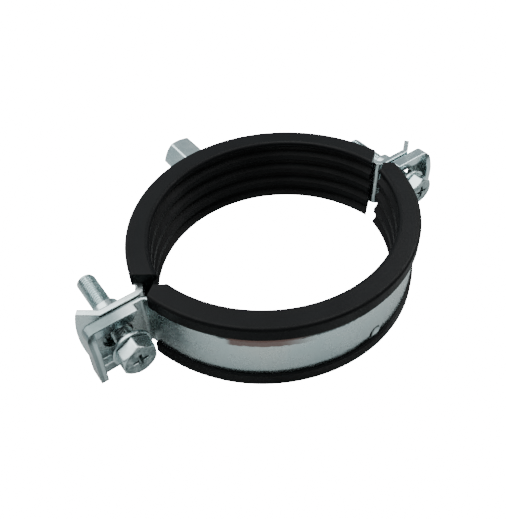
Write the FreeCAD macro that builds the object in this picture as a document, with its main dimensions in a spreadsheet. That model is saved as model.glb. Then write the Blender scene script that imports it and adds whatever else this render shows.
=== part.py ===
import FreeCAD, Part
import math
import os
import re
import Sketcher

# Pipe clamp of two steel half shells with rubber linings, drawn together by two long screws.
# It lies flat: +Z is the pipe's axis and Z = 0 the linings' lower faces. The halves meet on the
# plane Y = 0, the rear half with the threaded boss on the +Y side, the screw heads on the -Y side.
# Without a pipe the shells close past their own centres, so each centre is off the split plane.

# Driving dimensions in millimetres and degrees, each with its meaning
SIZES = {
    "shell_radius": (58.0, "radius over the linings' rib crests"),
    "shell_offset": (8.5, "distance of each shell's centre from the split plane"),
    "lining_width": (35.0, "lining along the pipe"),
    "groove_depth": (2.2, "grooves between the lining's ribs"),
    "groove_mouth": (5.6, "groove's width at the rib crests"),
    "groove_root": (1.6, "groove's width at its bottom"),
    "rim_rib": (2.25, "width of the lining's two outermost ribs at their crests"),
    "web_thickness": (3.7, "lining between the grooves and the band"),
    "inner_round": (1.8, "rounding of the lining's inner edges"),
    "outer_round": (1.4, "rounding of the lining's outer edges"),
    "lip_thickness": (1.2, "lining's lip outside the band"),
    "lip_overlap": (1.2, "how far a lip reaches over the band's face"),
    "rear_tip_gap": (0.8, "tip of the rear lining's end to the split plane"),
    "front_tip_gap": (3.0, "tip of the front lining's end to the split plane"),
    "front_tip_inset": (3.3, "that tip to the rib crests, across which the end slopes back"),
    "lining_slant": (37.0, "angle of the lining's end faces to the split plane"),
    "fit_gap": (0.1, "gap round the band inside its lining"),
    "band_width": (25.0, "steel band along the pipe"),
    "band_thickness": (2.5, "steel band's sheet"),
    "bend_radius": (2.0, "inner radius of the bend from shell to ear"),
    "split_gap": (0.15, "half the gap between the two ears"),
    "screw_margin": (10.5, "screw axis to the outside of the shell"),
    "ear_margin": (14.0, "ear's outer end from the screw axis"),
    "flare_margin": (5.6, "screw axis to the bend where the rear ear's tip turns back"),
    "flare_angle": (38.0, "turn of the rear ear's tip"),
    "tip_radius": (49.0, "curve of the rear ear's sheared end"),
    "rim_margin": (7.0, "inner end of the front ear's rims from the screw axis"),
    "rim_slant": (3.0, "slope of the rims' inner ends along X"),
    "rim_depth": (3.55, "upper and lower rims in front of the front ear's plate"),
    "flange_depth": (6.85, "outer flange in front of the front ear's plate"),
    "flange_wall": (3.0, "thickness of the outer flange"),
    "flange_curve": (20.0, "curve by which the flange's edge falls back to the upper rim"),
    "ear_corner": (3.0, "rounding of the front ear's upper outer corner"),
    "ear_fold": (1.6, "rounding of the front ear's back where its rims fold forward"),
    "screw_diameter": (8.0, "thread's outer diameter"),
    "screw_length": (43.0, "shank under the head"),
    "left_standoff": (7.5, "left washer to the front ear's plate, screws not yet tightened"),
    "right_standoff": (5.75, "right washer to the front ear's plate"),
    "screw_point": (1.0, "chamfer at the shank's end"),
    "thread_clearance": (0.05, "radial gap between shank and threaded collar"),
    "head_flats": (13.0, "across flats of the screw head"),
    "head_height": (6.2, "height of the screw head"),
    "head_chamfer": (1.0, "height of the chamfer round the head's end"),
    "recess_span": (6.4, "cross recess from tip to tip"),
    "recess_slot": (1.3, "width of the cross recess's arms"),
    "recess_depth": (2.6, "depth of the cross recess"),
    "washer_outer": (16.0, "outer diameter of the washer"),
    "washer_play": (0.4, "washer's hole over the screw's diameter"),
    "washer_thickness": (1.6, "thickness of the washer"),
    "washer_room": (0.2, "washer to the rims above and below it"),
    "slot_play": (1.0, "slot in the front ear over the screw's diameter"),
    "slot_run": (3.1, "how far the slot runs outward from the screw"),
    "collar_wall": (1.8, "wall of the threaded collar drawn out of the rear ear"),
    "collar_height": (9.0, "threaded collar behind the rear ear's plate"),
    "boss_flats": (17.0, "across flats of the hexagonal boss"),
    "boss_floor": (2.5, "boss between its inner thread and the shell"),
    "boss_chamfer": (0.8, "chamfer round the boss's outer face"),
    "outer_thread_radius": (4.25, "wall of the boss's larger thread"),
    "outer_thread_length": (13.0, "length of the boss's larger thread"),
    "inner_thread_radius": (3.4, "wall of the boss's smaller thread"),
    "inner_thread_length": (10.0, "length of the boss's smaller thread"),
    "dimple_ball": (4.8, "radius of the hollow that the dimple's punch leaves"),
    "dimple_depth": (1.15, "depth of the round dimple"),
    "dimple_along": (5.6, "dimple's place along X"),
    "dimple_up": (9.0, "dimple's place above the lower face"),
}

# Grooves in each lining, one fewer than its ribs
GROOVES = 4

# Lengths that follow from the sizes
GROOVE_PITCH = f"((lining_width - groove_mouth - 2 * rim_rib) / {GROOVES - 1})"
WEB_OUTER = "(shell_radius + groove_depth + web_thickness)"
BAND_INNER = f"({WEB_OUTER} + fit_gap)"
BAND_OUTER = f"({BAND_INNER} + band_thickness)"
LIP_INNER = f"({BAND_OUTER} + fit_gap)"
LINING_OUTER = f"({LIP_INNER} + lip_thickness)"
MID = "(lining_width / 2)"
BAND_LOW = "((lining_width - band_width) / 2)"
BAND_HIGH = "((lining_width + band_width) / 2)"
PLATE_BACK = "(split_gap + band_thickness)"
SCREW_PLACE = f"({BAND_OUTER} + screw_margin)"
EAR_END = f"({SCREW_PLACE} + ear_margin)"
FLARE_START = f"({SCREW_PLACE} + flare_margin)"
FLARE_LENGTH = f"(({EAR_END} - {FLARE_START}) / cos(flare_angle))"
RIM_START = f"({SCREW_PLACE} - rim_margin)"
RIM_WALL = "((band_width - washer_outer) / 2 - washer_room)"
FLANGE_START = f"({EAR_END} - flange_wall)"
SLOT_RADIUS = "((screw_diameter + slot_play) / 2)"
BOSS_FACE = f"({BAND_OUTER} - shell_offset + boss_floor + inner_thread_length + outer_thread_length)"
FAR = f"(2 * {EAR_END})"

REAR, FRONT = 1, -1
LEFT, RIGHT = -1, 1
NAME = re.compile(r"[a-z_]+")


def tied(words):
    """The expression with each size's alias read from the sheet."""
    def read(found):
        word = found.group()
        return f"sizes.{word}" if word in SIZES else word
    return NAME.sub(read, words)


def value(words):
    """The expression's value now."""
    return float(sheet.evalExpression(words))


def fill_sheet():
    made = doc.addObject("Spreadsheet::Sheet", "sizes")
    for row, (alias, (number, meaning)) in enumerate(SIZES.items(), start=1):
        made.set(f"A{row}", meaning)
        made.set(f"B{row}", str(number))
        made.setAlias(f"B{row}", alias)
    doc.recompute()
    return made


def new_body(label):
    body = doc.addObject("PartDesign::Body", label)
    body.Label = label
    return body


def new_sketch(body, name, plane, offset="0"):
    """An empty sketch on one of the body's origin planes, moved along the plane's normal."""
    sketch = body.newObject("Sketcher::SketchObject", f"{body.Label}_{name}")
    support = [item for item in body.Origin.OriginFeatures if item.Role == plane][0]
    sketch.AttachmentSupport = [(support, "")]
    sketch.MapMode = "FlatFace"
    sketch.setExpression("AttachmentOffset.Base.z", tied(offset))
    return sketch


def constrain(sketch, kind, *place, words):
    index = sketch.addConstraint(Sketcher.Constraint(kind, *place, value(words)))
    sketch.setExpression(f"Constraints[{index}]", tied(words))


def outline(sketch, corners, curved=None, radius=None, turn=LEFT):
    """A closed outline whose corners are tied to the sheet by their two coordinates.

    The side that starts at the corner number curved, if there is one, is an arc of the given
    radius that turns to the left or to the right on its way.
    """
    points = [FreeCAD.Vector(value(x), value(y), 0) for x, y in corners]
    count = len(points)
    first = sketch.GeometryCount
    starts, ends = [1] * count, [2] * count
    for index in range(count):
        here, there = points[index], points[(index + 1) % count]
        if index != curved:
            sketch.addGeometry(Part.LineSegment(here, there), False)
            continue
        sketch.addGeometry(arc_between(here, there, value(radius), turn), False)
        if turn == RIGHT:
            starts[index], ends[index] = 2, 1
    for index in range(count):
        following = (index + 1) % count
        joint = (first + index, ends[index], first + following, starts[following])
        sketch.addConstraint(Sketcher.Constraint("Coincident", *joint))
    for index, (x, y) in enumerate(corners):
        constrain(sketch, "DistanceX", -1, 1, first + index, starts[index], words=x)
        constrain(sketch, "DistanceY", -1, 1, first + index, starts[index], words=y)
    if curved is not None:
        constrain(sketch, "Radius", first + curved, words=radius)


def arc_between(here, there, radius, turn):
    """The short arc from one point to another, which a sketch always keeps anticlockwise."""
    across = there - here
    sideways = FreeCAD.Vector(-across.y, across.x, 0).normalize()
    centre = (here + there) / 2 - sideways * turn * math.sqrt(radius ** 2 - (across.Length / 2) ** 2)
    start, end = (here, there) if turn == LEFT else (there, here)
    angles = [math.atan2(point.y - centre.y, point.x - centre.x) for point in (start, end)]
    return Part.ArcOfCircle(Part.Circle(centre, FreeCAD.Vector(0, 0, 1), radius), *angles)


def circle(sketch, x, y, radius):
    centre = FreeCAD.Vector(value(x), value(y), 0)
    index = sketch.addGeometry(Part.Circle(centre, FreeCAD.Vector(0, 0, 1), value(radius)), False)
    constrain(sketch, "DistanceX", -1, 1, index, 3, words=x)
    constrain(sketch, "DistanceY", -1, 1, index, 3, words=y)
    constrain(sketch, "Radius", index, words=radius)


def hexagon(sketch, x, y, flats, upright):
    """A hexagon with a corner above and below its centre, or if not upright beside it."""
    to_flat = f"(({flats}) / 2)"
    to_corner = f"(({flats}) / sqrt(3))"
    corners = [(0, 1), (1, 0.5), (1, -0.5), (0, -1), (-1, -0.5), (-1, 0.5)]
    if upright:
        outline(sketch, [(f"{x} + {a} * {to_flat}", f"{y} + {b} * {to_corner}") for a, b in corners])
    else:
        outline(sketch, [(f"{x} + {b} * {to_corner}", f"{y} + {a} * {to_flat}") for a, b in corners])


def pad(body, sketch, length, backwards=False):
    feature = body.newObject("PartDesign::Pad", sketch.Name + "_pad")
    feature.Profile = sketch
    feature.setExpression("Length", tied(length))
    feature.Reversed = backwards
    sketch.Visibility = False
    doc.recompute()
    return feature


def pocket(body, sketch, length=None, backwards=False):
    """Cuts the sketch's area to a depth, or right through both ways where no length is given."""
    before = body.Shape.Volume
    feature = body.newObject("PartDesign::Pocket", sketch.Name + "_pocket")
    feature.Profile = sketch
    if length is None:
        feature.Type = "ThroughAll"
        feature.Midplane = True
    else:
        feature.setExpression("Length", tied(length))
        feature.Reversed = backwards
    doc.recompute()
    if not body.Shape.Volume < before:
        raise RuntimeError(f"{feature.Label} cuts nothing")
    return feature


def turned(body, sketch, kind):
    """A full turn of the sketch about its own vertical axis, added or cut away."""
    feature = body.newObject(f"PartDesign::{kind}", sketch.Name + "_turned")
    feature.Profile = sketch
    feature.ReferenceAxis = (sketch, ["V_Axis"])
    feature.Angle = 360
    doc.recompute()
    return feature


def edges_at(shape, chosen):
    """Names of the edges for which chosen(edge) is true."""
    return [f"Edge{number}" for number, edge in enumerate(shape.Edges, start=1) if chosen(edge)]


def dress(body, kind, size_name, words, chosen):
    """A fillet or chamfer on the chosen edges of the body's tip."""
    base = body.Tip
    names = edges_at(base.Shape, chosen)
    if not names:
        raise RuntimeError(f"{body.Label}: no edge for {kind}")
    feature = body.newObject(f"PartDesign::{kind}", f"{body.Label}_{kind}_{size_name}")
    feature.Base = (base, names)
    feature.setExpression("Radius" if kind == "Fillet" else "Size", tied(words))
    doc.recompute()
    return feature


def upright_edge(x, y, reach=0.01):
    """Chooses the edges along Z that stand at the given place."""
    def chosen(edge):
        box = edge.BoundBox
        flat = box.XLength < reach and box.YLength < reach
        return flat and abs(box.XMin - x) < reach and abs(box.YMin - y) < reach
    return chosen


def lining(label, half):
    """The channel of rubber on one shell: ribs inside, a groove for the band, lips outside."""
    body = new_body(label)
    profile = new_sketch(body, "channel", "XZ_Plane", f"{half} * shell_offset")
    low_groove, high_groove = f"({BAND_LOW} - fit_gap)", f"({BAND_HIGH} + fit_gap)"
    low_lip, high_lip = f"({BAND_LOW} + lip_overlap)", f"({BAND_HIGH} - lip_overlap)"
    inside = [("shell_radius", "0")]
    for index in range(GROOVES):
        middle = f"({MID} + {index - (GROOVES - 1) / 2} * {GROOVE_PITCH})"
        inside += [
            ("shell_radius", f"{middle} - groove_mouth / 2"),
            ("shell_radius + groove_depth", f"{middle} - groove_root / 2"),
            ("shell_radius + groove_depth", f"{middle} + groove_root / 2"),
            ("shell_radius", f"{middle} + groove_mouth / 2"),
        ]
    inside += [("shell_radius", "lining_width")]
    outside = [
        (LINING_OUTER, "lining_width"),
        (LINING_OUTER, high_lip),
        (LIP_INNER, high_lip),
        (LIP_INNER, high_groove),
        (WEB_OUTER, high_groove),
        (WEB_OUTER, low_groove),
        (LIP_INNER, low_groove),
        (LIP_INNER, low_lip),
        (LINING_OUTER, low_lip),
        (LINING_OUTER, "0"),
    ]
    outline(profile, inside + outside)
    turned(body, profile, "Revolution")
    for name, radius in (("inner", "shell_radius"), ("outer", LINING_OUTER)):
        dress(body, "Fillet", name, f"{name}_round", rim_edge(value(radius)))
    lining_ends(body, half)
    return body


def rim_edge(radius):
    """Chooses the ring edges of the given radius on the lining's two rims."""
    top = value("lining_width")

    def chosen(edge):
        box = edge.BoundBox
        at_rim = min(abs(box.ZMin), abs(box.ZMin - top)) < 0.01 and box.ZLength < 0.01
        return at_rim and abs(box.XMax - radius) < 0.01
    return chosen


def lining_ends(body, half):
    """Cuts a lining off at both ends: the rear one to a slope, the front one to a ridge."""
    gap, inset = ("rear_tip_gap", "0") if half == REAR else ("front_tip_gap", "front_tip_inset")
    tip_x, tip_y = f"(shell_radius + {inset})", f"{half} * {gap}"
    outer_y = f"{half} * ({gap} + ({FAR} - {tip_x}) * tan(lining_slant))"
    right = [(tip_x, tip_y), (FAR, outer_y), (FAR, f"{-half} * {FAR}")]
    if half == FRONT:
        right.insert(0, ("shell_radius", f"{half} * ({gap} + {inset} * tan(lining_slant))"))
    left = [(f"-{x}", y) for x, y in reversed(right)]
    ends = new_sketch(body, "ends", "XY_Plane")
    outline(ends, left + right)
    pocket(body, ends)


def half_ring(body, half):
    """The band's arc: a ring cut off at its ear's contact face."""
    ring = new_sketch(body, "ring", "XY_Plane", BAND_LOW)
    for radius in (BAND_INNER, BAND_OUTER):
        circle(ring, "0", f"{-half} * shell_offset", radius)
    pad(body, ring, "band_width")
    cut = new_sketch(body, "split", "XY_Plane")
    outline(cut, [
        (f"-{FAR}", f"{half} * split_gap"),
        (FAR, f"{half} * split_gap"),
        (FAR, f"{-half} * {FAR}"),
        (f"-{FAR}", f"{-half} * {FAR}"),
    ])
    pocket(body, cut)


def bends(body, half):
    """Rounds the bends from the shell into both ears, inside and outside."""
    def across(radius, height):
        return value(f"sqrt(({radius})^2 - (({height}) + shell_offset)^2)")
    outer_x = across(BAND_INNER, "split_gap")
    inner_x = across(BAND_OUTER, PLATE_BACK)
    outer_y, inner_y = half * value("split_gap"), half * value(PLATE_BACK)

    def at_both_sides(x, y):
        return lambda edge: upright_edge(x, y)(edge) or upright_edge(-x, y)(edge)
    dress(body, "Fillet", "outside", "bend_radius + band_thickness", at_both_sides(outer_x, outer_y))
    dress(body, "Fillet", "inside", "bend_radius", at_both_sides(inner_x, inner_y))


def rear_band():
    """Rear shell: flat ears with threaded collars, their tips turned back."""
    body = new_body("rear_band")
    half_ring(body, REAR)
    ears = new_sketch(body, "ears", "XY_Plane", BAND_LOW)
    back = f"(split_gap + {FLARE_LENGTH} * sin(flare_angle))"
    turn = "(band_thickness * tan(flare_angle / 2))"
    for side in (LEFT, RIGHT):
        outline(ears, [
            (f"{side} * {BAND_INNER}", "split_gap"),
            (f"{side} * {FLARE_START}", "split_gap"),
            (f"{side} * {EAR_END}", back),
            (f"{side} * ({EAR_END} - band_thickness * sin(flare_angle))",
             f"{back} + band_thickness * cos(flare_angle)"),
            (f"{side} * ({FLARE_START} - {turn})", PLATE_BACK),
            (f"{side} * {BAND_INNER}", PLATE_BACK),
        ])
    pad(body, ears, "band_width")
    bends(body, REAR)
    for side in (LEFT, RIGHT):
        curve_tip(body, side)
    collars = new_sketch(body, "collars", "XZ_Plane", f"-{PLATE_BACK}")
    for side in (LEFT, RIGHT):
        circle(collars, f"{side} * {SCREW_PLACE}", MID, "screw_diameter / 2 + collar_wall")
    pad(body, collars, "collar_height", backwards=True)
    holes = new_sketch(body, "threads", "XZ_Plane")
    for side in (LEFT, RIGHT):
        circle(holes, f"{side} * {SCREW_PLACE}", MID, "screw_diameter / 2 + thread_clearance")
    pocket(body, holes)
    return body


def curve_tip(body, side):
    """Shears the end of a turned-back tip to a shallow curve, square to the sheet."""
    name = "left" if side == LEFT else "right"
    end = new_sketch(body, f"{name}_tip", "XZ_Plane", "-split_gap")
    place = end.AttachmentOffset
    place.Rotation = FreeCAD.Rotation(FreeCAD.Vector(0, 1, 0), side * value("flare_angle"))
    end.AttachmentOffset = place
    end.setExpression("AttachmentOffset.Rotation.Angle", tied(f"{side} * flare_angle"))
    end.setExpression("AttachmentOffset.Base.x", tied(f"{side} * {FLARE_START}"))
    fall = "(tip_radius - sqrt(tip_radius^2 - band_width^2 / 4))"
    inner, outer = f"{side} * ({FLARE_LENGTH} - {fall})", f"{side} * ({FLARE_LENGTH} + band_width)"
    corners = [(inner, BAND_LOW), (outer, BAND_LOW), (outer, BAND_HIGH), (inner, BAND_HIGH)]
    outline(end, corners, curved=3, radius="tip_radius", turn=side)
    pocket(body, end)


def front_ear_frame(body, side):
    """The front ear's rims along its top and bottom, and the flange at its outer end."""
    name = "left" if side == LEFT else "right"
    window_low, window_high = f"({BAND_LOW} + {RIM_WALL})", f"({BAND_HIGH} - {RIM_WALL})"
    rims = new_sketch(body, f"{name}_rims", "XZ_Plane", PLATE_BACK)
    outline(rims, [
        (f"{side} * {RIM_START}", BAND_LOW),
        (f"{side} * {EAR_END}", BAND_LOW),
        (f"{side} * {EAR_END}", BAND_HIGH),
        (f"{side} * {RIM_START}", BAND_HIGH),
        (f"{side} * ({RIM_START} + rim_slant)", window_high),
        (f"{side} * {FLANGE_START}", window_high),
        (f"{side} * {FLANGE_START}", window_low),
        (f"{side} * ({RIM_START} + rim_slant)", window_low),
    ])
    pad(body, rims, "rim_depth")
    inner_end = FLANGE_START if side == RIGHT else f"-{EAR_END}"
    flange = new_sketch(body, f"{name}_flange", "YZ_Plane", inner_end)
    back, front = f"-{PLATE_BACK}", f"-({PLATE_BACK} + flange_depth)"
    bow = "sqrt(flange_curve^2 - (flange_curve - flange_depth + rim_depth)^2)"
    outline(flange, [
        (back, BAND_HIGH),
        (f"-({PLATE_BACK} + rim_depth)", BAND_HIGH),
        (front, f"{BAND_HIGH} - {bow}"),
        (front, BAND_LOW),
        (back, BAND_LOW),
    ], curved=1, radius="flange_curve", turn=LEFT)
    pad(body, flange, "flange_wall")


def front_band():
    """Front shell: ears like shallow trays with a slot for the screw, and a dimple in the shell."""
    body = new_body("front_band")
    half_ring(body, FRONT)
    plates = new_sketch(body, "plates", "XY_Plane", BAND_LOW)
    for side in (LEFT, RIGHT):
        outline(plates, [
            (f"{side} * {BAND_INNER}", "-split_gap"),
            (f"{side} * {EAR_END}", "-split_gap"),
            (f"{side} * {EAR_END}", f"-{PLATE_BACK}"),
            (f"{side} * {BAND_INNER}", f"-{PLATE_BACK}"),
        ])
    pad(body, plates, "band_width")
    bends(body, FRONT)
    for side in (LEFT, RIGHT):
        front_ear_frame(body, side)
    end_x, top, back_y = value(EAR_END), value(BAND_HIGH), value("-split_gap")

    def upper_corner(edge):
        box = edge.BoundBox
        at_end = abs(abs(box.Center.x) - end_x) < 0.01 and box.XLength < 0.01
        return at_end and box.ZMin > top - 0.01
    dress(body, "Fillet", "corner", "ear_corner", upper_corner)

    def back_end(edge):
        return upright_edge(end_x, back_y)(edge) or upright_edge(-end_x, back_y)(edge)
    dress(body, "Fillet", "fold", "ear_fold", back_end)
    slots = new_sketch(body, "slots", "XZ_Plane")
    for side in (LEFT, RIGHT):
        slot_outline(slots, side)
    pocket(body, slots)
    dimple(body)
    return body


def dimple(body):
    """A shallow round hollow in the shell's outside, near its lower edge."""
    ball = body.newObject("PartDesign::SubtractiveSphere", "dimple")
    ball.setExpression("Radius", tied("dimple_ball"))
    ball.setExpression("Placement.Base.x", tied("dimple_along"))
    surface = f"(shell_offset - sqrt({BAND_OUTER}^2 - dimple_along^2))"
    ball.setExpression("Placement.Base.y", tied(f"{surface} - dimple_ball + dimple_depth"))
    ball.setExpression("Placement.Base.z", tied("dimple_up"))
    doc.recompute()


def slot_outline(sketch, side):
    """A slot with round ends that runs outward from the screw."""
    inner, outer = f"{side} * {SCREW_PLACE}", f"{side} * ({SCREW_PLACE} + slot_run)"
    low, high = f"{MID} - {SLOT_RADIUS}", f"{MID} + {SLOT_RADIUS}"
    near, far = (outer, inner) if side == LEFT else (inner, outer)
    normal = FreeCAD.Vector(0, 0, 1)

    def point(x, y):
        return FreeCAD.Vector(value(x), value(y), 0)

    def half_circle(x, start):
        whole = Part.Circle(point(x, MID), normal, value(SLOT_RADIUS))
        return Part.ArcOfCircle(whole, start, start + math.pi)
    first = sketch.GeometryCount
    sketch.addGeometry(Part.LineSegment(point(near, low), point(far, low)), False)
    sketch.addGeometry(half_circle(far, -math.pi / 2), False)
    sketch.addGeometry(Part.LineSegment(point(far, high), point(near, high)), False)
    sketch.addGeometry(half_circle(near, math.pi / 2), False)
    sketch.addConstraint(Sketcher.Constraint("Tangent", first, 2, first + 1, 1))
    sketch.addConstraint(Sketcher.Constraint("Tangent", first + 1, 2, first + 2, 1))
    sketch.addConstraint(Sketcher.Constraint("Tangent", first + 2, 2, first + 3, 1))
    sketch.addConstraint(Sketcher.Constraint("Tangent", first + 3, 2, first, 1))
    constrain(sketch, "Radius", first + 1, words=SLOT_RADIUS)
    constrain(sketch, "DistanceX", -1, 1, first + 1, 3, words=far)
    constrain(sketch, "DistanceY", -1, 1, first + 1, 3, words=MID)
    constrain(sketch, "DistanceX", -1, 1, first + 3, 3, words=near)
    sketch.addConstraint(Sketcher.Constraint("Horizontal", first))


def boss():
    """Hexagonal boss on the rear shell's crown, with two threads one behind the other."""
    body = new_body("boss")
    hexagonal = new_sketch(body, "hexagon", "XZ_Plane", f"-{BOSS_FACE}")
    hexagon(hexagonal, "0", MID, "boss_flats", upright=False)
    pad(body, hexagonal, f"{BOSS_FACE} + shell_offset - {BAND_INNER}")
    seat = new_sketch(body, "seat", "XY_Plane")
    circle(seat, "0", "-shell_offset", f"{BAND_OUTER} + fit_gap / 2")
    pocket(body, seat)
    face_y = value(BOSS_FACE)
    dress(body, "Chamfer", "end", "boss_chamfer", lambda edge: abs(edge.BoundBox.YMin - face_y) < 0.01)
    larger = new_sketch(body, "larger_thread", "XZ_Plane", f"-{BOSS_FACE}")
    circle(larger, "0", MID, "outer_thread_radius")
    pocket(body, larger, "outer_thread_length", backwards=True)
    smaller = new_sketch(body, "smaller_thread", "XZ_Plane", f"-{BOSS_FACE}")
    circle(smaller, "0", MID, "inner_thread_radius")
    pocket(body, smaller, "outer_thread_length + inner_thread_length", backwards=True)
    return body


def head_seat(side):
    """Distance from the split plane to the underside of a screw's head."""
    return f"({washer_seat(side)} + washer_thickness)"


def washer_seat(side):
    """Distance from the split plane to a washer's rear face."""
    return f"({PLATE_BACK} + {'left_standoff' if side == LEFT else 'right_standoff'})"


def screw(label, side):
    """Long machine screw: hexagon head with a chamfered end and a cross recess, plain shank."""
    body = new_body(label)
    x, seat = f"{side} * {SCREW_PLACE}", head_seat(side)
    shank = new_sketch(body, "shank", "XZ_Plane", seat)
    circle(shank, x, MID, "screw_diameter / 2")
    pad(body, shank, "screw_length", backwards=True)
    end_y = value(f"screw_length - {seat}")
    dress(body, "Chamfer", "point", "screw_point", lambda edge: abs(edge.BoundBox.YMin - end_y) < 0.01)
    head = new_sketch(body, "head", "XZ_Plane", seat)
    hexagon(head, x, MID, "head_flats", upright=True)
    pad(body, head, "head_height")
    cut_corners(body, side)
    recess = new_sketch(body, "recess", "XZ_Plane", f"{seat} + head_height")
    span, arm = "(recess_span / 2)", "(recess_slot / 2)"
    quarter = [(arm, span), (arm, arm), (span, arm)]
    cross = []
    for _ in range(4):
        cross += quarter
        quarter = [(b, f"-1 * {a}") for a, b in quarter]
    outline(recess, [(f"{x} + {a}", f"{MID} + {b}") for a, b in cross])
    pocket(body, recess, "recess_depth")
    return body


def cut_corners(body, side):
    """Turns away the head's corners to a cone that starts at the flats' circle on its end."""
    cone = new_sketch(body, "corner_cone", "YZ_Plane", f"{side} * {SCREW_PLACE}")
    end = f"-({head_seat(side)} + head_height)"
    spread = "(head_flats / sqrt(3))"
    outline(cone, [
        (end, f"{MID} + head_flats / 2"),
        (f"{end} + head_chamfer", f"{MID} + {spread} + fit_gap"),
        (end, f"{MID} + {spread} + fit_gap"),
    ])
    feature = body.newObject("PartDesign::Groove", f"{body.Label}_corner_groove")
    feature.Profile = cone
    axis = new_sketch(body, "head_axis", "YZ_Plane", f"{side} * {SCREW_PLACE}")
    start = FreeCAD.Vector(0, value(MID), 0)
    axis.addGeometry(Part.LineSegment(start, start + FreeCAD.Vector(1, 0, 0)), False)
    axis.addConstraint(Sketcher.Constraint("Horizontal", 0))
    constrain(axis, "DistanceY", -1, 1, 0, 1, words=MID)
    feature.ReferenceAxis = (axis, ["Edge1"])
    feature.Angle = 360
    doc.recompute()


def washer(label, side):
    """Flat washer under a screw head."""
    body = new_body(label)
    face = new_sketch(body, "face", "XZ_Plane", washer_seat(side))
    for radius in ("washer_outer / 2", "(screw_diameter + washer_play) / 2"):
        circle(face, f"{side} * {SCREW_PLACE}", MID, radius)
    pad(body, face, "washer_thickness - fit_gap")
    return body


def check_and_write(bodies):
    broken = [item.Label for item in doc.Objects if "Invalid" in item.State or "Error" in item.State]
    if broken:
        raise RuntimeError("failed features: " + ", ".join(broken))
    os.makedirs("parts", exist_ok=True)
    for body in bodies:
        shape = body.Shape
        if shape.isNull() or not shape.isValid() or len(shape.Solids) != 1:
            raise RuntimeError(f"{body.Label} is not one valid solid")
    for body in bodies:
        body.Shape.exportStep(f"parts/{body.Label}.step")
        print(body.Label, round(body.Shape.Volume, 1), "mm3", len(body.Shape.Faces), "faces")


doc = FreeCAD.newDocument("pipe_clamp")
sheet = fill_sheet()
check_and_write([
    rear_band(),
    front_band(),
    lining("rear_lining", REAR),
    lining("front_lining", FRONT),
    boss(),
    screw("left_screw", LEFT),
    screw("right_screw", RIGHT),
    washer("left_washer", LEFT),
    washer("right_washer", RIGHT),
])
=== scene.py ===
import math

import bmesh
import bpy
from mathutils import Matrix, Vector


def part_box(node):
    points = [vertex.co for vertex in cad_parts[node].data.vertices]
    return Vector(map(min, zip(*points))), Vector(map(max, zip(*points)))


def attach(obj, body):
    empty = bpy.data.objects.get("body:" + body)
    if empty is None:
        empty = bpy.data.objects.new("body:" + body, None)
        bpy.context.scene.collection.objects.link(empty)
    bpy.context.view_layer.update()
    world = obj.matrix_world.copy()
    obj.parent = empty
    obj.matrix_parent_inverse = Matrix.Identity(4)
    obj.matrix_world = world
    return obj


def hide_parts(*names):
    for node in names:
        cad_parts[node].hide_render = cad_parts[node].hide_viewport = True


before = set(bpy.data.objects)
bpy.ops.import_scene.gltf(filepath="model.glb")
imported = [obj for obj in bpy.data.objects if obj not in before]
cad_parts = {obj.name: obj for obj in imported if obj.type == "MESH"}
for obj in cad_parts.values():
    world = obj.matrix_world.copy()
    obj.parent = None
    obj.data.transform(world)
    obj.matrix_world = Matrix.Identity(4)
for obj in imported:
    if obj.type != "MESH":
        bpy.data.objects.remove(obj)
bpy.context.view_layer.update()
MM = 0.001


# Sizes in millimetres that the detailed pieces share with the frame
SHELL_OFFSET = 8.5
BAND_OUTER = 66.5
SCREW_RADIUS = 4
SCREW_LENGTH = 43
SCREW_PITCH = 1.25
HEAD_FLATS = 13
HEAD_HEIGHT = 6.2
HEAD_CHAMFER = 1.0
BOSS_FLATS = 17
OUTER_THREAD = {"radius": 4.25, "length": 13, "pitch": 1.5}
INNER_THREAD = {"radius": 3.4, "length": 10, "pitch": 1.25}

# Colours of specks and of painted shade on the zinc
SPECK = (0.25, 0.28, 0.28)
EAR_SHADE = (0.07, 0.10, 0.10)
LIP_SHADOW_DARK = (0.03, 0.04, 0.042)
LIP_SHADOW_BROWN = (0.15, 0.085, 0.075)

# Strength at which the camera sees the floor and the sky as white
WHITE_STRENGTH = 20


# Materials

def new_material(name):
    """A new material with its nodes, its links and its main shader."""
    material = bpy.data.materials.new(name)
    material.use_nodes = True
    nodes = material.node_tree.nodes
    return material, nodes, material.node_tree.links, nodes["Principled BSDF"]


def object_place(nodes):
    return nodes.new("ShaderNodeTexCoord").outputs["Object"]


def millimetres(*values):
    return tuple(value * MM for value in values)


def split(nodes, links, place):
    """The X, Y and Z of a place or a direction."""
    made = nodes.new("ShaderNodeSeparateXYZ")
    links.new(place, made.inputs[0])
    return made.outputs


def ramp(nodes, links, source, stops):
    made = nodes.new("ShaderNodeValToRGB")
    while len(made.color_ramp.elements) < len(stops):
        made.color_ramp.elements.new(0.5)
    for element, (place, color) in zip(made.color_ramp.elements, stops):
        element.position = place
        element.color = (*color, 1)
    links.new(source, made.inputs["Fac"])
    return made.outputs["Color"]


def noise(nodes, links, place, scale, detail=3, roughness=0.5):
    made = nodes.new("ShaderNodeTexNoise")
    made.inputs["Scale"].default_value = scale
    made.inputs["Detail"].default_value = detail
    made.inputs["Roughness"].default_value = roughness
    links.new(place, made.inputs["Vector"])
    return made.outputs["Fac"]


def maths(nodes, links, operation, first, second=0.0):
    made = nodes.new("ShaderNodeMath")
    made.operation = operation
    for socket, value in zip(made.inputs, (first, second)):
        if isinstance(value, (int, float)):
            socket.default_value = value
        else:
            links.new(value, socket)
    return made.outputs[0]


def spread(nodes, links, source, between, to):
    """Maps the source smoothly, so that the pair of values between becomes the pair to."""
    made = nodes.new("ShaderNodeMapRange")
    made.interpolation_type = "SMOOTHSTEP"
    names = ("From Min", "From Max", "To Min", "To Max")
    for name, value in zip(names, (*between, *to)):
        made.inputs[name].default_value = value
    links.new(source, made.inputs["Value"])
    return made.outputs["Result"]


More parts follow.
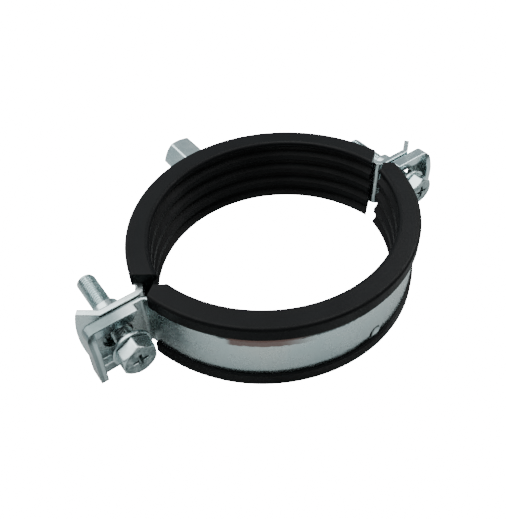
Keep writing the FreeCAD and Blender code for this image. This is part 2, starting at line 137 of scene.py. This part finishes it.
def blended(nodes, links, amount, first, second):
    made = nodes.new("ShaderNodeMix")
    made.data_type = "RGBA"
    links.new(amount, made.inputs["Factor"])
    for socket, value in ((made.inputs["A"], first), (made.inputs["B"], second)):
        if isinstance(value, tuple):
            socket.default_value = (*value, 1)
        else:
            links.new(value, socket)
    return made.outputs["Result"]


def rounded(nodes, radius):
    """The surface's direction, turned near sharp edges as if they were rounded."""
    made = nodes.new("ShaderNodeBevel")
    made.samples = 6
    made.inputs["Radius"].default_value = radius
    return made.outputs["Normal"]


def bumped(nodes, links, height, strength, distance, under=None):
    """The surface's direction with bumps, laid over the direction under where it is given."""
    made = nodes.new("ShaderNodeBump")
    made.inputs["Strength"].default_value = strength
    made.inputs["Distance"].default_value = distance
    links.new(height, made.inputs["Height"])
    if under is not None:
        links.new(under, made.inputs["Normal"])
    return made.outputs["Normal"]


def zinc_color(nodes, links, place):
    """Bright zinc: grey green clouds, small specks, and painted shade in corners, stronger at -X."""
    raggedness, strongest_corner_shade = 0.16, 0.5
    clouds = ramp(nodes, links, noise(nodes, links, place, scale=38, detail=4, roughness=0.6), [
        (0.30, (0.45, 0.56, 0.575)),
        (0.50, (0.525, 0.625, 0.63)),
        (0.70, (0.575, 0.645, 0.63)),
    ])
    grains = noise(nodes, links, place, scale=800, detail=2, roughness=0.6)
    specks = spread(nodes, links, grains, between=(0.68, 0.76), to=(0, 0.15))
    plating = blended(nodes, links, specks, clouds, SPECK)

    # Painted shade: corners that see little of the sky are darkened towards a dark brownish colour, more at
    # -X
    open_sky = nodes.new("ShaderNodeAmbientOcclusion")
    open_sky.inputs["Distance"].default_value = 10 * MM
    uneven = noise(nodes, links, place, scale=160, detail=3, roughness=0.5)
    ragged = maths(nodes, links, "MULTIPLY", uneven, raggedness)
    openness = maths(nodes, links, "SUBTRACT", open_sky.outputs["AO"], ragged)
    cornered = spread(nodes, links, openness, between=(0.05, 0.42), to=(strongest_corner_shade, 0))
    x = split(nodes, links, place)["X"]
    leftward = spread(nodes, links, x, between=millimetres(-50, 50), to=(1, 0.1))
    corner_shade = maths(nodes, links, "MULTIPLY", cornered, leftward)
    corner_shade_color = ramp(nodes, links, noise(nodes, links, place, scale=120), [
        (0.45, (0.060, 0.095, 0.095)),
        (0.62, (0.17, 0.105, 0.095)),
    ])
    return blended(nodes, links, corner_shade, plating, corner_shade_color)


def ear_shade(nodes, links, place):
    """How much painted shade darkens the front shell on the upper rim and the outer side of its left ear."""
    x, _, z = split(nodes, links, place)
    # Painted shade on the left ear, not a property of the plating
    top = spread(nodes, links, z, between=millimetres(29.3, 29.7), to=(0, 1))
    outer_part = spread(nodes, links, x, between=millimetres(-70, -80), to=(0, 0.9))
    rim = maths(nodes, links, "MULTIPLY", top, outer_part)
    outer_side = spread(nodes, links, x, between=millimetres(-89.3, -89.9), to=(0, 0.6))
    return maths(nodes, links, "MAXIMUM", rim, outer_side)


def lip_shades(nodes, links, place):
    """How strongly painted shadow, dark and brown, lies on the front shell just below its upper lip."""
    raggedness, soft_edge = 2.2 * MM, 0.7 * MM
    x, y, z = split(nodes, links, place)
    uneven = noise(nodes, links, place, scale=420, detail=4, roughness=0.7)
    height = maths(nodes, links, "ADD", z, maths(nodes, links, "MULTIPLY", uneven, raggedness))
    in_front = spread(nodes, links, y, between=millimetres(-30, -34), to=(0, 1))

    def zone(lower_edge, left_end, right_end):
        """Full above its lower edge and between its ends, each given from none to full."""
        low = lower_edge * MM
        above = spread(nodes, links, height, between=(low, low + soft_edge), to=(0, 1))
        past_left = spread(nodes, links, x, between=millimetres(*left_end), to=(0, 1))
        before_right = spread(nodes, links, x, between=millimetres(*right_end), to=(0, 0.9))
        along = maths(nodes, links, "MULTIPLY", past_left, before_right)
        above = maths(nodes, links, "MULTIPLY", above, in_front)
        return maths(nodes, links, "MULTIPLY", above, along)

    # Painted shadow of the upper lip: a dark band along the front, and a brown band reaching lower on its
    # left part
    dark_lip_shadow = zone(26.8, left_end=(-58, -52), right_end=(20, 0))
    brown_lip_shadow = zone(24.0, left_end=(-51, -49), right_end=(-20, -36))
    return dark_lip_shadow, brown_lip_shadow


def zinc_material(name, edge, front=False):
    """The zinc plating, with edges shaded as if rounded to the radius edge in millimetres.

    The front shell's carries painted shade on its left ear, and dark and brown painted shadow below its
    upper lip.
    """
    material, nodes, links, skin = new_material(name)
    place = object_place(nodes)
    color = zinc_color(nodes, links, place)
    if front:
        dark_lip_shadow, brown_lip_shadow = lip_shades(nodes, links, place)
        shades = ((ear_shade(nodes, links, place), EAR_SHADE), (dark_lip_shadow, LIP_SHADOW_DARK), (brown_lip_shadow, LIP_SHADOW_BROWN))
        # Painted shade and shadow laid over the plating's colour
        for amount, shade in shades:
            color = blended(nodes, links, amount, color, shade)
    links.new(color, skin.inputs["Base Color"])
    skin.inputs["Metallic"].default_value = 1
    uneven = noise(nodes, links, place, scale=150, detail=5, roughness=0.65)
    rough = spread(nodes, links, uneven, between=(0.3, 0.7), to=(0.18, 0.32))
    links.new(rough, skin.inputs["Roughness"])
    wide_dents = noise(nodes, links, place, scale=90)
    dents = bumped(nodes, links, wide_dents, strength=0.25, distance=0.0003, under=rounded(nodes, edge * MM))
    fine = noise(nodes, links, place, scale=900, roughness=0.6)
    grain = bumped(nodes, links, fine, strength=0.05, distance=0.0001, under=dents)
    links.new(grain, skin.inputs["Normal"])
    return material


def dull_and_shaded_zinc_material():
    """The stamped end of a screw's head, blotched, rougher and less bright than its sides; part of its
    darkness is painted shade.
    """
    material, nodes, links, skin = new_material("dull_and_shaded_zinc")
    place = object_place(nodes)
    # Darker colours than the sides: partly the stamped end's own blotches, partly painted shade
    color = ramp(nodes, links, noise(nodes, links, place, scale=330, detail=5, roughness=0.7), [
        (0.32, (0.045, 0.070, 0.072)),
        (0.50, (0.23, 0.29, 0.29)),
        (0.70, (0.50, 0.57, 0.57)),
    ])
    links.new(color, skin.inputs["Base Color"])
    skin.inputs["Metallic"].default_value = 1
    skin.inputs["Roughness"].default_value = 0.34
    small = noise(nodes, links, place, scale=450, detail=4, roughness=0.6)
    pits = bumped(nodes, links, small, strength=0.35, distance=0.0002)
    links.new(pits, skin.inputs["Normal"])
    return material


def rubber_material():
    """Black rubber with the faint lengthwise lines of its extrusion."""
    material, nodes, links, skin = new_material("rubber")
    place = object_place(nodes)
    color = ramp(nodes, links, noise(nodes, links, place, scale=60, detail=4), [
        (0.35, (0.0012, 0.0015, 0.0019)),
        (0.65, (0.0020, 0.0024, 0.0029)),
    ])
    links.new(color, skin.inputs["Base Color"])
    skin.inputs["Specular IOR Level"].default_value = 0.11
    uneven = noise(nodes, links, place, scale=35)
    rough = spread(nodes, links, uneven, between=(0.3, 0.7), to=(0.42, 0.6))
    links.new(rough, skin.inputs["Roughness"])

    # The lines run round the shell's centre, so they depend on the radius and the height alone
    x, y, z = split(nodes, links, place)
    from_centre = maths(nodes, links, "SUBTRACT", maths(nodes, links, "ABSOLUTE", y), -SHELL_OFFSET * MM)
    squares = maths(nodes, links, "ADD", maths(nodes, links, "MULTIPLY", x, x),
                    maths(nodes, links, "MULTIPLY", from_centre, from_centre))
    radius = maths(nodes, links, "SQRT", squares)
    section = nodes.new("ShaderNodeCombineXYZ")
    links.new(radius, section.inputs["X"])
    links.new(z, section.inputs["Y"])
    drawn = noise(nodes, links, section.outputs[0], scale=1500, detail=2)
    lines = bumped(nodes, links, drawn, strength=0.1, distance=0.0001)
    fine = noise(nodes, links, place, scale=1100)
    grain = bumped(nodes, links, fine, strength=0.12, distance=0.0001, under=lines)
    links.new(grain, skin.inputs["Normal"])
    return material


ZINC = zinc_material("zinc", 0.9)
FRONT_ZINC = zinc_material("front_zinc", 0.9, front=True)
THREAD_ZINC = zinc_material("thread_zinc", 0.05)
DULL_AND_SHADED_ZINC = dull_and_shaded_zinc_material()
RUBBER = rubber_material()

# The material of each node that the scene shows, and the width in millimetres of its softened edges
FINISH = {
    "rear_band": (ZINC, 0.3),
    "front_band": (FRONT_ZINC, 0.3),
    "rear_lining": (RUBBER, 0.2),
    "front_lining": (RUBBER, 0.2),
    "left_washer": (ZINC, 0.25),
    "right_washer": (ZINC, 0.25),
}


def soften(node, width):
    """Breaks the node's sharp edges with a small bevel, once its flat faces are joined up."""
    flat = node.modifiers.new("flat", "DECIMATE")
    flat.decimate_type = "DISSOLVE"
    flat.angle_limit = math.radians(0.5)
    edge = node.modifiers.new("edge", "BEVEL")
    edge.width = width
    edge.segments = 2
    edge.limit_method = "ANGLE"
    edge.angle_limit = math.radians(30)
    edge.harden_normals = True
    edge.use_clamp_overlap = True


def finish_nodes():
    for name, (material, width) in FINISH.items():
        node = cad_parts[name]
        node.data.materials.clear()
        node.data.materials.append(material)
        soften(node, width * MM)


# Pieces turned round an axis along Y, given ring by ring

def turned_piece(name, rings, centre, first, second=None, change=None):
    """A mesh of rings about the line through centre along Y; each ring lists (radius, angle, y).

    Its faces have the first material, and the second one from the ring number change on.
    """
    x, z = centre
    points = []
    faces = []
    count = len(rings[0])
    for ring in rings:
        for radius, angle, y in ring:
            points.append(((x + radius * math.cos(angle)) * MM, y * MM, (z + radius * math.sin(angle)) * MM))
    for row in range(len(rings) - 1):
        for step in range(count):
            after = (step + 1) % count
            here, there = row * count, (row + 1) * count
            faces.append((here + step, here + after, there + after, there + step))
    last = (len(rings) - 1) * count
    faces.append(tuple(range(count))[::-1])
    faces.append(tuple(range(last, last + count)))
    mesh = bpy.data.meshes.new(name)
    mesh.from_pydata(points, [], faces)
    mesh.validate()
    solid = bmesh.new()
    solid.from_mesh(mesh)
    bmesh.ops.recalc_face_normals(solid, faces=solid.faces)
    solid.to_mesh(mesh)
    solid.free()
    mesh.materials.append(first)
    if second:
        mesh.materials.append(second)
    for index, face in enumerate(mesh.polygons):
        face.use_smooth = True
        if second and index >= change * count:
            face.material_index = 1
    mesh.set_sharp_from_angle(angle=math.radians(28))
    made = bpy.data.objects.new(name, mesh)
    bpy.context.collection.objects.link(made)
    return made


def hexagon_radius(angle, flats, corner_cut=0.15):
    """Radius of a hexagon with a corner at angle 90 degrees, its corners slightly blunted."""
    from_flat = (angle - math.pi / 6) % (math.pi / 3) - math.pi / 6
    return min(flats / 2 / math.cos(from_flat), flats / math.sqrt(3) - corner_cut)


def angles(count):
    return [2 * math.pi * step / count for step in range(count)]


def thread_depth(turns):
    """0 on the crest and 1 at the root of a thread, by how many pitches have passed."""
    crest, root = 1 / 8, 1 / 4
    from_crest = abs(turns % 1 - 0.5) * 2
    return min(max((1 - from_crest - crest) / (1 - crest - root), 0), 1)


def screw_shank(name, seat, centre):
    """The threaded shank, from the head's underside at y = seat to its chamfered point."""
    depth, point = 0.7, 1.1
    plain, runout = 0.8, 1.5
    steps, rows_per_pitch = 72, 10
    rings = []
    rows = round(SCREW_LENGTH / SCREW_PITCH * rows_per_pitch)
    for row in range(rows + 1):
        along = SCREW_LENGTH * row / rows
        full_depth = depth * min(1, max(0, (along - plain) / runout))
        limit = SCREW_RADIUS - max(0, along - SCREW_LENGTH + point)
        ring = []
        for angle in angles(steps):
            groove = thread_depth(along / SCREW_PITCH + angle / (2 * math.pi)) * full_depth
            ring.append((min(SCREW_RADIUS - groove, limit), angle, seat + along))
        rings.append(ring)
    return turned_piece(name, rings, centre, THREAD_ZINC)


def recess_floor(x, y):
    """Depth of the cross recess at a place on the head's end, measured from its middle."""
    reach, middle_radius, steepness = 3.2, 1.35, 5
    wide, narrow = 0.8625, 0.6375
    deep, shallow = 2.5, 1.125
    depth = 0
    for along, across in ((abs(x), abs(y)), (abs(y), abs(x))):
        share = along / reach
        sides = (wide + (narrow - wide) * share - across) * steepness
        bottom = deep + (shallow - deep) * share
        end = (reach - along) * steepness
        depth = max(depth, min(sides, bottom, end))
    middle = (middle_radius - math.hypot(x, y)) * steepness
    return max(depth, min(middle, deep), 0)


def screw_head(name, seat, centre):
    """Hexagon head with a chamfered end and a cross recess; it reaches from y = seat to -Y."""
    steps, recess_rows = 192, 44
    under_chamfer, rounding = 0.3, 0.08
    flat, corner = HEAD_FLATS / 2, HEAD_FLATS / math.sqrt(3)
    end_radius = flat - 0.1
    full = [hexagon_radius(angle, HEAD_FLATS) for angle in angles(steps)]

    def end_height(radius):
        return HEAD_HEIGHT - HEAD_CHAMFER * max(0, radius - flat) / (corner - flat)

    def ring(radii, heights):
        return [(radius, angle, seat - height)
                for radius, angle, height in zip(radii, angles(steps), heights)]

    def narrowed(amount):
        return [radius - amount for radius in full]

    def below_end(drop):
        return [end_height(radius) - drop for radius in full]

    # Rings close to an edge on both sides keep it crisp
    rings = [
        ring([SCREW_RADIUS - 1] * steps, [0] * steps),
        ring(narrowed(under_chamfer), [0] * steps),
        ring(full, [under_chamfer] * steps),
        ring(full, [under_chamfer + 0.15] * steps),
        ring(full, below_end(0.4)),
        ring(full, below_end(0.15)),
        ring(narrowed(rounding), below_end(0.03)),
    ]
    for share in (0.75, 0.5, 0.25, 0):
        radii = [end_radius + (radius - 2 * rounding - end_radius) * share for radius in full]
        rings.append(ring(radii, [end_height(radius) for radius in radii]))
    end_starts = len(rings) - 1
    for row in range(1, recess_rows):
        radius = end_radius * (1 - row / recess_rows)
        end = [HEAD_HEIGHT - recess_floor(radius * math.cos(angle), radius * math.sin(angle))
               for angle in angles(steps)]
        rings.append(ring([radius] * steps, end))
    return turned_piece(name, rings, centre, ZINC, DULL_AND_SHADED_ZINC, end_starts)


def screws():
    for side in ("left", "right"):
        # The node and the body that it is on have the same name
        screw = f"{side}_screw"
        low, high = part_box(screw)
        seat = low[1] / MM + HEAD_HEIGHT
        centre = ((low[0] + high[0]) / 2 / MM, (low[2] + high[2]) / 2 / MM)
        for piece in (screw_shank(f"{side}_shank", seat, centre), screw_head(f"{side}_head", seat, centre)):
            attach(piece, screw)
            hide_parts(screw)


def threaded_bore(rings, count, start, thread):
    """Adds the rings of a threaded bore that starts at y = start and runs towards -Y."""
    pitch, length, depth = thread["pitch"], thread["length"], 0.6 * thread["pitch"]
    rows_per_pitch, first_turn = 9, 0.5
    rows = round(length / pitch * rows_per_pitch)
    for row in range(rows + 1):
        along = length * row / rows
        lead_in = max(0, depth - along)
        ring = []
        for angle in angles(count):
            turns = first_turn + along / pitch - angle / (2 * math.pi)
            groove = thread_depth(turns) * depth
            ring.append((thread["radius"] + max(groove, lead_in), angle, start - along))
        rings.append(ring)


def threaded_boss():
    """The welded hexagonal boss: seam at its foot, chamfered end, two threads inside."""
    steps, corner_cut, shell_gap = 144, 0.25, 0.05
    seam_height, seam_width, ripple_height = 1.6, 1.2, 0.1
    end_radius, chamfer_radius, chamfer_width, chamfer_height = 8.2, 8.3, 1.4, 0.8
    low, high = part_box("boss")
    end = high[1] / MM
    centre = (0, (low[2] + high[2]) / 2 / MM)
    shape = [(angle, hexagon_radius(angle + math.pi / 6, BOSS_FLATS, corner_cut))
             for angle in angles(steps)]

    def foot(radius, angle):
        """Where the shell's outside lies below a place on the boss."""
        across = radius * math.cos(angle)
        return math.sqrt((BAND_OUTER + shell_gap) ** 2 - across ** 2) - SHELL_OFFSET

    def end_face(radius):
        return end - chamfer_height * max(0, radius - chamfer_radius) / chamfer_width

    rings = []
    for height in (0, 0.4, 0.8, 1.2, seam_height):
        ring = []
        for angle, radius in shape:
            fading = 1 - height / seam_height
            ripple = ripple_height * math.sin(30 * angle + 2 * height)
            wide = radius + max(0, seam_width * fading ** 2 + ripple * fading)
            ring.append((wide, angle, foot(wide, angle) + height))
        rings.append(ring)
    # Rings close to the seam and to the chamfer keep their edges crisp
    for height in (1.75, 2.1):
        rings.append([(radius, angle, foot(radius, angle) + height) for angle, radius in shape])
    for drop in (0.5, 0.2):
        rings.append([(radius, angle, end_face(radius) - drop) for angle, radius in shape])
    for share in (0.6, 0.3, 0):
        inwards = [(angle, end_radius + (radius - end_radius) * share) for angle, radius in shape]
        rings.append([(radius, angle, end_face(radius)) for angle, radius in inwards])
    bore_starts = len(rings)
    threaded_bore(rings, steps, end, OUTER_THREAD)
    threaded_bore(rings, steps, end - OUTER_THREAD["length"], INNER_THREAD)
    piece = turned_piece("threaded_boss", rings, centre, ZINC, THREAD_ZINC, bore_starts)
    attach(piece, "rear_half")
    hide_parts("boss")


# Floor, light and camera

def floor():
    """A pale floor just below the clamp, which the camera sees as white."""
    bpy.ops.mesh.primitive_plane_add(size=6, location=(0, 0, -0.5 * MM))
    made = bpy.context.object
    made.name = "floor"
    material, nodes, links, skin = new_material("floor")
    skin.inputs["Base Color"].default_value = (0.42, 0.44, 0.44, 1)
    skin.inputs["Roughness"].default_value = 0.9
    skin.inputs["Specular IOR Level"].default_value = 0.1
    skin.inputs["Emission Color"].default_value = (1, 1, 1, 1)
    seen = nodes.new("ShaderNodeLightPath").outputs["Is Camera Ray"]
    links.new(maths(nodes, links, "MULTIPLY", seen, WHITE_STRENGTH), skin.inputs["Emission Strength"])
    made.data.materials.append(material)


def area_light(name, place, aim, size, power):
    """A square light of this size in metres and power in watts, at place and turned towards aim."""
    data = bpy.data.lights.new(name, "AREA")
    data.size = size
    data.energy = power
    made = bpy.data.objects.new(name, data)
    bpy.context.collection.objects.link(made)
    made.location = place
    made.rotation_mode = "QUATERNION"
    made.rotation_quaternion = (Vector(aim) - Vector(place)).to_track_quat("-Z", "Y")


def light():
    """A sky that is dark low in front and bright elsewhere, and three lights.

    They are a key from behind, one on the floor at the right and one from above.
    """
    world = bpy.data.worlds.new("studio")
    bpy.context.scene.world = world
    world.use_nodes = True
    nodes, links = world.node_tree.nodes, world.node_tree.links
    sky = nodes["Background"]
    _, y, z = split(nodes, links, nodes.new("ShaderNodeTexCoord").outputs["Generated"])
    front = ramp(nodes, links, z, [
        (0.0, (0.10, 0.12, 0.12)),
        (0.3, (0.14, 0.16, 0.16)),
        (0.6, (0.45, 0.48, 0.49)),
        (0.9, (0.75, 0.78, 0.78)),
    ])
    back = ramp(nodes, links, z, [
        (0.0, (0.74, 0.84, 0.88)),
        (0.3, (0.70, 0.79, 0.83)),
        (0.7, (0.60, 0.65, 0.67)),
        (0.9, (0.75, 0.78, 0.78)),
    ])
    behind = spread(nodes, links, y, between=(0.1, 0.6), to=(0, 1))
    around = blended(nodes, links, behind, front, back)
    seen = nodes.new("ShaderNodeLightPath").outputs["Is Camera Ray"]
    links.new(blended(nodes, links, seen, around, (1.0, 1.0, 1.0)), sky.inputs["Color"])
    strength = spread(nodes, links, seen, between=(0, 1), to=(0.8, WHITE_STRENGTH))
    links.new(strength, sky.inputs["Strength"])
    area_light("key", place=(-0.3, 0.5, 0.85), aim=(0, 0, 0), size=1.0, power=13)
    area_light("right", place=(0.42, 0.0, 0.40), aim=(0.22, -0.06, 0), size=0.25, power=2.0)
    area_light("above", place=(0.05, -0.1, 1.0), aim=(0, 0, 0), size=0.6, power=6)


def camera():
    """The photo's camera: its place, its direction and the crop of its picture."""
    place = Vector((-118.06, -152.88, 211.69)) * MM
    ahead = Vector((0.4747, 0.6008, -0.6432)).normalized()
    level = Vector((ahead.y, -ahead.x, 0)).normalized()
    upright = level.cross(ahead)
    roll = math.radians(0.33)
    right = math.cos(roll) * level + math.sin(roll) * upright
    up = -math.sin(roll) * level + math.cos(roll) * upright
    data = bpy.data.cameras.new("photo")
    data.sensor_width = 36
    data.lens = 42.40
    data.shift_x = -0.0553
    data.shift_y = -0.1397
    data.clip_start = 0.01
    made = bpy.data.objects.new("photo", data)
    bpy.context.collection.objects.link(made)
    turn = Matrix((right, up, -ahead)).transposed()
    made.matrix_world = Matrix.Translation(place) @ turn.to_4x4()
    bpy.context.scene.camera = made


finish_nodes()
screws()
threaded_boss()
floor()
light()
camera()
